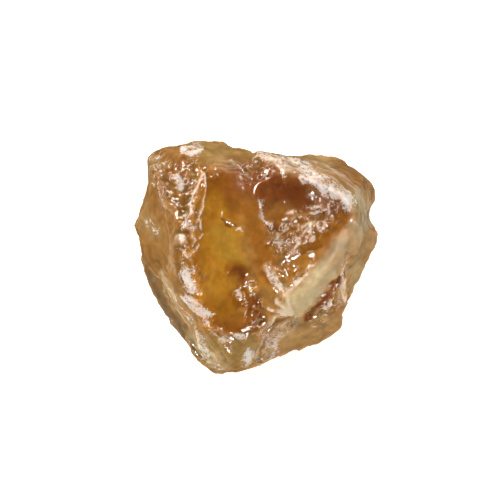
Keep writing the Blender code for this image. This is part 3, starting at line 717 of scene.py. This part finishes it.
# Raised places get a painted pale sheen, and streaks on the sides are milky too: where that starts and is
# full, and its strength.
RAISED_SHEEN_FROM, RAISED_PAINTED_SHEEN = (0.3, 1.0), 0.12
SIDE_VEIL_FROM, SIDE_VEIL = (0.3, 0.7), 0.6
# How strongly the crusts of the sides count in the material.
SIDE_CRUST_SHOWN = 0.7
# The width and the length of the streaks in chalk and veils.
STREAK_WIDTH, STREAK_LENGTH = 0.55, 5.0
# Where a streak starts and is full, in its noise, and how far apart two bands' noises lie.
STREAK_FROM = (-0.35, 0.45)
BAND_SPACING = 3.7
# How milky and how chalky the raised lines are painted, as glints along them, for each millimetre of their
# height.
RIDGE_GLINT_MILK = 2.6
RIDGE_GLINT_CHALK = 1.7

# Faces with a satin sheen: path, reach and strength.
SATINS = (
    (((24.0, 5.6), (19.6, -0.4), (14.6, -6.6), (9.8, -12.0)), 4.4, 1.0),
    (((-4.8, 18.4), (-3.8, 19.4)), 3.2, 0.4),
)

# Faces that broke smooth, without waves or flashes: path, reach and strength.
CALMS = (
    (((-8.5, 21.0), (-7.0, 12.0), (-7.5, 2.0), (-9.0, -8.0), (-8.0, -14.0)), 8.0, 1.0),
    (((-3.0, 16.0), (-1.0, 8.0), (0.6, 0.0), (2.4, -6.0)), 4.0, 1.0),
    (((1.0, 17.0), (8.0, 17.5), (13.0, 16.0)), 4.2, 0.8),
    (((22.8, 5.0), (18.5, -1.0), (13.5, -8.0), (9.5, -12.5)), 4.0, 1.0),
)


def streaked(places, bands):
    """How much of several bands there is at each place, in fine streaks that run along their paths."""
    share = np.zeros(len(places))
    for number, (path, reach, strength) in enumerate(bands):
        distance, side, _, run = beside(places, path)
        near = np.flatnonzero(distance < reach)
        across = (distance * side)[near] / STREAK_WIDTH
        along = run[near] / STREAK_LENGTH
        spots = [Vector((a, b, BAND_SPACING * number)) for a, b in zip(across, along)]
        lines = [noise.fractal(spot, 1.0, 2.0, 2) for spot in spots]
        streaks = smooth_step(*STREAK_FROM, np.array(lines))
        share[near] = np.maximum(share[near], strength * spread(distance[near], reach) * streaks)
    return share


def wash(colours, tint, share):
    """Washes a tint over colours, in place, by a share at each point."""
    colours += (tint - colours) * np.clip(share, 0.0, 1.0)[:, None]


def side_colours(sides, high):
    """Patches and streaks of the broken sides, paler at the rim."""
    colours = np.tile(HONEY, (len(high), 1))
    for tint, field, sign, reach, strength in SIDE_WASHES:
        wash(colours, tint, smooth_step(*reach, sign * sides[field]) * strength)
    wash(colours, RIM, RIM_SHARE * high)
    return colours


def top_colours(places, near):
    """The washes of the top: soft ones that stray widely, and then sharp ones."""
    colours = np.tile(HONEY, (len(places), 1))
    for tint, path, reach, strength in WASHES:
        distance = beside(places, path)[0]
        wash(colours, tint, strength * smooth_step(SOFT_EDGE[0] * reach, SOFT_EDGE[1] * reach, distance))
    for tint, path, reach, strength in SHARP_WASHES:
        distance = beside(near, path)[0]
        wash(colours, tint, strength * smooth_step(reach, SHARPNESS * reach, distance))
    return colours


def chalk_share(marks, near, stray):
    """How chalky each point is: dust and streaks on the top, painted glints along the raised lines, and
    patches on the sides.
    """
    up = marks["up"]
    dusty = [(path, CHALK_FADE * reach, strength) for path, reach, strength in CHALKS]
    dust = strongest(near + DUST_STRAY * stray, dusty, CHALK_FULL)
    top = (DUST_STRENGTH * dust + STREAK_STRENGTH * streaked(near, CHALKS)) * up
    # Painted glints along the raised lines.
    top = np.maximum(top, RIDGE_GLINT_CHALK * marks["lines"])
    patches = smooth_step(*SIDE_CHALK_FROM, marks["fields"].cloud(*SIDE_CHALK))
    side = (1.0 - up) * marks["side_crust"] * patches
    return np.maximum(top, SIDE_CHALK_STRENGTH * side)


def veil_share(marks, near, streaks):
    """How milky each point is: veils, a painted sheen on raised places, painted glints along raised lines,
    and streaks on the sides.
    """
    up = marks["up"]
    # A painted pale sheen on the raised places.
    edges = RAISED_PAINTED_SHEEN * smooth_step(*RAISED_SHEEN_FROM, marks["raised"])
    top = np.maximum(streaked(near, VEILS), edges) * up
    # Painted glints along the raised lines.
    top = np.maximum(top, RIDGE_GLINT_MILK * marks["lines"])
    return np.maximum(top, SIDE_VEIL * (1.0 - up) * smooth_step(*SIDE_VEIL_FROM, -streaks))


def paint(stone, marks):
    """Stores the stone's colours, and how chalky, milky and crumbly it is, at each point."""
    fields, up = marks["fields"], marks["up"]
    stray = fields.pair(STRAYS)
    places = marks["places"] + SOFT_STRAY * stray
    near = marks["places"] + SHARP_STRAY * stray
    sides = {"patches": fields.cloud(*PATCHES), "streaks": fields.cloud(*STREAKS)}
    veins = fields.cloud(*VEINS)
    colours = side_colours(sides, marks["high"])
    colours += (top_colours(places, near) - colours) * up[:, None]
    tone = VEIN_TONE * np.clip(veins, -1.0, 1.0) + SPLINTER_TONE * np.clip(marks["splinters"], -1.0, 1.0)
    # Painted light on small ridges and painted shade in small hollows, by how far each point stands out.
    colours *= (1.0 + tone + PAINTED_RELIEF_SHADING * marks["raised"])[:, None]
    mesh = stone.data
    layer = mesh.color_attributes.new("stone_colour", "FLOAT_COLOR", "POINT")
    layer.data.foreach_set("color", np.column_stack([colours, np.ones(len(up))]).ravel())
    shares = {"chalk": chalk_share(marks, near, stray),
              "waved": marks["waved"],
              "calm": strongest(near, CALMS) * up,
              "satin": strongest(near, SATINS) * up,
              "veil_and_glints": veil_share(marks, near, sides["streaks"]),
              "crust": np.maximum(marks["crust"], SIDE_CRUST_SHOWN * marks["side_crust"])}
    for name, values in shares.items():
        mesh.attributes.new(name, "FLOAT", "POINT").data.foreach_set("value", values)


# ---- material ---------------------------------------------------------------------------------

REFRACTION = 1.658
SCATTER_REACH = (0.75, 0.45, 0.22)
SCATTER_SCALE = 0.002
ABSORPTION = (0.86, 0.6, 0.28, 1.0)
ABSORPTION_DENSITY = 40.0

# Clouds in the material: their size in millimetres, detail and roughness, and for dust its distortion.
DUST = (0.7, 6.0, 0.75, 0.2)
GRAIN = (0.55, 4.0, 0.65)
FLECKS = (2.2, 5.0, 0.65)
FOLDS = (1.5, 2.0, 0.5)
LOW_WAVES = (2.6, 3.0, 0.5)
FINE_GRAIN = (1.0, 5.0, 0.6)
STROKES = (1.1, 1.0, 0.5)

# Ramps: where a value starts and ends, and what it gives there, if that isn't 0 and 1.
COARSE_SPECKS = (0.35, 0.65, -0.22, 0.22)
DUST_SPECKS = (0.34, 0.66, -0.45, 0.45)
SPECKLED_FROM = (0.0, 0.3)
CHALK_FROM = (0.3, 0.9)
GRAINY_VEIL = (0.3, 0.62, 0.35, 0.8)
FLECK_TONE = (0.3, 0.7, 0.84, 1.14)
SATIN_ROUGHNESS = (0.0, 1.0, 0.0, 0.5)
VEIL_ROUGHNESS = (0.0, 1.0, 0.07, 0.35)
CHALK_ROUGHNESS = (0.0, 1.0, 0.0, 0.6)
CLEARNESS = (0.0, 1.0, 0.3, 0.0)
CHALK_COVER = 0.92

# Painted glints, as fine pale curved strokes: how they lean and stretch, where they show, how wide they are
# and how chalky.
PAINTED_GLINT_SLANT = 1.1
PAINTED_GLINT_STRETCH = 2.2
PAINTED_GLINT_CRUST = 0.6
PAINTED_GLINT_FLECKS = (0.49, 0.61)
PAINTED_GLINT_FACES = (0.08, 0.3, 0.0, 0.8)
PAINTED_GLINT_WIDTH = (0.012, 0.05, 1.0, 0.0)
PAINTED_GLINT_CHALK = 0.75

# Bumps: what crusts add, where strokes show and how high they are, and the depth, in metres.
CRUST_GRAIN = (0.0, 1.0, 0.05, 0.9)
STROKE_CRUST = 0.4
STROKED_FACES = (0.03, 0.3, 0.0, 2.0)
BUMP_STRENGTH = 0.6
BUMP_DEPTH = (0.0, 1.0, 0.0003, 0.00005)

# Facets: their size in millimetres. Each draws a lot, crusts make it higher, and the highest flash.
FACET_SIZE = 0.5
LOTS = 9.0
CRUST_LUCK = (0.0, 1.0, 0.0, 0.35)
WINNING = (0.97, 0.98)
CALM_FLASH = (0.0, 0.6, 0.8, 0.0)
CRUST_TILT = (0.1, 1.0, 0.0, 0.5)

# A Mix node's sockets for colours, which share their names with its sockets for numbers.
MIX_A, MIX_B, MIX_RESULT = 6, 7, 2


class Graph:
    """Short ways of adding the nodes of a material or of the sky."""

    def __init__(self, owner):
        owner.use_nodes = True
        self.nodes = owner.node_tree.nodes
        self.links = owner.node_tree.links
        self.place = self.add("TexCoord").outputs["Object"]

    def add(self, kind, values=None, **settings):
        node = self.nodes.new("ShaderNode" + kind)
        for name, value in settings.items():
            setattr(node, name, value)
        for name, value in (values or {}).items():
            self.set(node, name, value)
        return node

    def set(self, node, name, value):
        socket = node.inputs[name]
        if isinstance(value, bpy.types.NodeSocket):
            self.links.new(value, socket)
        else:
            socket.default_value = value

    def read(self, name):
        return self.add("Attribute", attribute_name=name).outputs

    def clouds(self, size, detail=4.0, roughness=0.55, twist=0.0, place=None):
        """Noise with clouds of a size in millimetres, at a place of its own or at the object's."""
        values = {"Vector": place or self.place, "Scale": PER_METRE / size, "Detail": detail,
                  "Roughness": roughness, "Distortion": twist}
        return self.add("TexNoise", values).outputs[0]

    def ramp(self, value, low, high, to_low=0.0, to_high=1.0):
        values = {"Value": value, "From Min": low, "From Max": high, "To Min": to_low, "To Max": to_high}
        return self.add("MapRange", values).outputs[0]

    def maths(self, operation, a, b, clamp=False):
        return self.add("Math", {0: a, 1: b}, operation=operation, use_clamp=clamp).outputs[0]

    def mix(self, share, a, b):
        node = self.add("Mix", data_type="RGBA")
        self.set(node, 0, share)
        self.set(node, MIX_A, a)
        self.set(node, MIX_B, b)
        return node.outputs[MIX_RESULT]


def chalky(graph, area, dust, flecks):
    """Chalk in grains, which thin out where there is little of it."""
    coarse = graph.ramp(flecks, *COARSE_SPECKS)
    patchy = graph.maths("ADD", graph.ramp(dust, *DUST_SPECKS), coarse)
    scatter = graph.maths("MULTIPLY", patchy, graph.ramp(area, *SPECKLED_FROM))
    return graph.ramp(graph.maths("ADD", area, scatter), *CHALK_FROM)


def painted_glints(graph, crust, flecks):
    """Painted glints: fine pale curved strokes that wind through the crumbly and the waved faces."""
    broken = graph.maths("MAXIMUM", graph.read("waved")["Fac"], graph.maths("MULTIPLY", crust, PAINTED_GLINT_CRUST))
    slanted = {"Vector": graph.place, "Rotation": (0.0, 0.0, PAINTED_GLINT_SLANT),
               "Scale": (PAINTED_GLINT_STRETCH, 1.0, 1.0)}
    leaning = graph.add("Mapping", slanted, vector_type="TEXTURE").outputs[0]
    folds = graph.clouds(*FOLDS, place=leaning)
    fold = graph.maths("ABSOLUTE", graph.maths("SUBTRACT", folds, 0.5), 0.0)
    some = graph.maths("MULTIPLY", graph.ramp(flecks, *PAINTED_GLINT_FLECKS), graph.ramp(broken, *PAINTED_GLINT_FACES))
    return graph.maths("MULTIPLY", graph.ramp(fold, *PAINTED_GLINT_WIDTH), some)


def surface_colour(graph, colour, haze_and_glints, chalk, flecks):
    """The stone's own colour, flecked, under milk and then chalk, both of which carry painted glints in
    places.
    """
    tone = graph.ramp(flecks, *FLECK_TONE)
    mottled = graph.add("VectorMath", {0: colour, "Scale": tone}, operation="SCALE").outputs[0]
    milky = graph.mix(haze_and_glints, mottled, (*MILK, 1.0))
    return graph.mix(graph.maths("MULTIPLY", chalk, CHALK_COVER), milky, (*CHALK, 1.0))


def roughness(graph, haze_and_glints, chalk):
    """Glossy crystal, duller in its satin faces and veils, and dullest in its chalk."""
    satin = graph.ramp(graph.read("satin")["Fac"], *SATIN_ROUGHNESS)
    dull = graph.maths("ADD", graph.ramp(haze_and_glints, *VEIL_ROUGHNESS), graph.ramp(chalk, *CHALK_ROUGHNESS))
    return graph.maths("ADD", dull, satin)


def bumpy(graph, crust, calm):
    """Low waves, grain in the crusts, and small sharp ripples, which catch the light as curved strokes."""
    waves = graph.clouds(*LOW_WAVES)
    fine = graph.maths("MULTIPLY", graph.clouds(*FINE_GRAIN), graph.ramp(crust, *CRUST_GRAIN))
    waved = graph.maths("MAXIMUM", graph.read("waved")["Fac"], graph.maths("MULTIPLY", crust, STROKE_CRUST))
    strokes = graph.clouds(*STROKES)
    strokes = graph.maths("MULTIPLY", strokes, graph.ramp(waved, *STROKED_FACES))
    height = graph.maths("ADD", graph.maths("ADD", waves, fine), strokes)
    depth = graph.ramp(calm, *BUMP_DEPTH)
    bump = {"Height": height, "Strength": BUMP_STRENGTH, "Distance": depth}
    return graph.add("Bump", bump).outputs[0]


def flashing(graph, bump, crust, calm):
    """Tiny broken facets, each tilted its own way, which flash: many in the crusts, few elsewhere."""
    facets = {"Vector": graph.place, "Scale": PER_METRE / FACET_SIZE}
    chips = graph.add("TexVoronoi", facets).outputs["Color"]
    tilt = graph.add("VectorMath", {0: chips, 1: (0.5, 0.5, 0.5)}, operation="SUBTRACT").outputs[0]
    draw = graph.add("SeparateColor", {"Color": chips}).outputs[0]
    lot = graph.maths("FRACT", graph.maths("MULTIPLY", draw, LOTS), 0.0)
    flash = graph.ramp(calm, *CALM_FLASH)
    ticket = graph.maths("ADD", lot, graph.ramp(crust, *CRUST_LUCK))
    chosen = graph.maths("MULTIPLY", graph.ramp(ticket, *WINNING), flash)
    amount = graph.maths("MAXIMUM", graph.ramp(crust, *CRUST_TILT), chosen)
    tilt = graph.add("VectorMath", {0: tilt, "Scale": amount}, operation="SCALE").outputs[0]
    tilted = graph.add("VectorMath", {0: bump, 1: tilt}, operation="ADD").outputs[0]
    return graph.add("VectorMath", {0: tilted}, operation="NORMALIZE").outputs[0]


def calcite():
    """Wet, cloudy honey crystal, milky in its veils, with dry chalk where the stone is chalky; its milk and
    chalk carry painted glints and sheen.
    """
    made = bpy.data.materials.new("honey_calcite")
    graph = Graph(made)
    surface = graph.nodes["Principled BSDF"]
    colour = graph.read("stone_colour")["Color"]
    area, veil_and_glints, crust, calm = [graph.read(name)["Fac"] for name in ("chalk", "veil_and_glints", "crust", "calm")]
    dust, grain, flecks = [graph.clouds(*cloud) for cloud in (DUST, GRAIN, FLECKS)]
    chalk = chalky(graph, area, dust, flecks)
    # The milk carries the painted sheen and the painted glints, as well as the veils.
    haze_and_glints = graph.maths("MULTIPLY", veil_and_glints, graph.ramp(grain, *GRAINY_VEIL))
    # Painted glints in fine pale strokes, added to the milk and the chalk.
    glint_strokes = painted_glints(graph, crust, flecks)
    haze_and_glints = graph.maths("MAXIMUM", haze_and_glints, glint_strokes)
    chalk = graph.maths("MAXIMUM", chalk, graph.maths("MULTIPLY", glint_strokes, PAINTED_GLINT_CHALK))
    graph.set(surface, "Base Color", surface_colour(graph, colour, haze_and_glints, chalk, flecks))
    graph.set(surface, "Roughness", roughness(graph, haze_and_glints, chalk))
    surface.inputs["IOR"].default_value = REFRACTION
    clear = graph.ramp(graph.maths("MAXIMUM", chalk, haze_and_glints), *CLEARNESS)
    graph.set(surface, "Transmission Weight", clear)
    surface.inputs["Subsurface Weight"].default_value = 1.0
    surface.inputs["Subsurface Radius"].default_value = SCATTER_REACH
    surface.inputs["Subsurface Scale"].default_value = SCATTER_SCALE
    graph.set(surface, "Normal", flashing(graph, bumpy(graph, crust, calm), crust, calm))
    body = graph.add("VolumeAbsorption", {"Color": ABSORPTION, "Density": ABSORPTION_DENSITY})
    output = graph.nodes["Material Output"]
    graph.links.new(body.outputs[0], output.inputs["Volume"])
    return made


# ---- floor, lights and camera -----------------------------------------------------------------

SKY_ABOVE, SKY_BELOW = 0.15, 0.45
# The sky changes over this much above and below the horizon.
SKY_BLEND = 0.15

# Floor and lights, in metres and watts.
FLOOR_SIZE = 12.0
FLOOR_TONE = (0.9, 0.9, 0.9)
FLOOR_ROUGHNESS = 0.9
FLOOR_GLOW = 0.58
LAMP_COLOUR = (1.0, 0.95, 0.88)
# Square lights that face the stone: name, place, size and power.
LAMPS = (
    ("key", (-0.04, -0.84, 0.54), 0.16, 6.8),
    ("right", (0.78, -0.56, 0.26), 0.25, 2.2),
    ("far_right", (0.55, 0.51, 0.67), 0.16, 7.0),
    ("far_left", (-0.55, 0.44, 0.72), 0.18, 6.5),
    ("left", (-0.72, 0.5, 0.5), 0.25, 6.0),
)
# Lights aim at the stone's middle.
MIDDLE = (0.0, 0.0, 0.018)


def plain(name, colour, roughness):
    made = bpy.data.materials.new(name)
    made.use_nodes = True
    surface = made.node_tree.nodes["Principled BSDF"]
    surface.inputs["Base Color"].default_value = (*colour, 1.0)
    surface.inputs["Roughness"].default_value = roughness
    return made


def make_floor():
    bpy.ops.mesh.primitive_plane_add(size=FLOOR_SIZE)
    floor = bpy.context.object
    floor.name = "floor"
    paper = plain("pale_floor", FLOOR_TONE, FLOOR_ROUGHNESS)
    surface = paper.node_tree.nodes["Principled BSDF"]
    surface.inputs["Emission Color"].default_value = (1.0, 1.0, 1.0, 1.0)
    surface.inputs["Emission Strength"].default_value = FLOOR_GLOW
    floor.data.materials.append(paper)
    floor.visible_glossy = False


def aim(thing, place):
    """Puts a thing in its place, facing the stone's middle."""
    thing.location = place
    thing.rotation_mode = "QUATERNION"
    thing.rotation_quaternion = (Vector(MIDDLE) - Vector(place)).to_track_quat("-Z", "Y")


def make_light(name, place, size, power):
    light = bpy.data.lights.new(name, "AREA")
    light.size = size
    light.color = LAMP_COLOUR
    light.energy = power
    lamp = bpy.data.objects.new(name, light)
    bpy.context.scene.collection.objects.link(lamp)
    aim(lamp, place)


def make_sky():
    """A dim studio, paler below, where it stands in for the floor in the stone's reflections."""
    world = bpy.data.worlds.new("sky")
    world.use_nodes = True
    graph = Graph(world)
    direction = graph.add("SeparateXYZ", {0: graph.add("TexCoord").outputs["Generated"]}).outputs["Z"]
    sky = graph.nodes["Background"]
    graph.set(sky, "Strength", graph.ramp(direction, -SKY_BLEND, SKY_BLEND, SKY_BELOW, SKY_ABOVE))
    bpy.context.scene.world = world


def make_studio():
    make_floor()
    for name, place, width, power in LAMPS:
        make_light(name, place, width, power)
    make_sky()
    bpy.context.scene.view_settings.view_transform = "Standard"


def make_camera():
    camera = bpy.data.cameras.new("camera")
    camera.lens = LENS
    camera.sensor_width = SENSOR
    eye = bpy.data.objects.new("camera", camera)
    eye.location = Vector(EYE) * MM
    bpy.context.scene.collection.objects.link(eye)
    bpy.context.scene.camera = eye


def main():
    stone = fine_skin(welded_copy(NODE))
    marks = wear_in(stone)
    paint(stone, marks)
    stone.data.materials.clear()
    stone.data.materials.append(calcite())
    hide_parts(NODE)
    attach(stone, "root")
    make_studio()
    make_camera()


main()
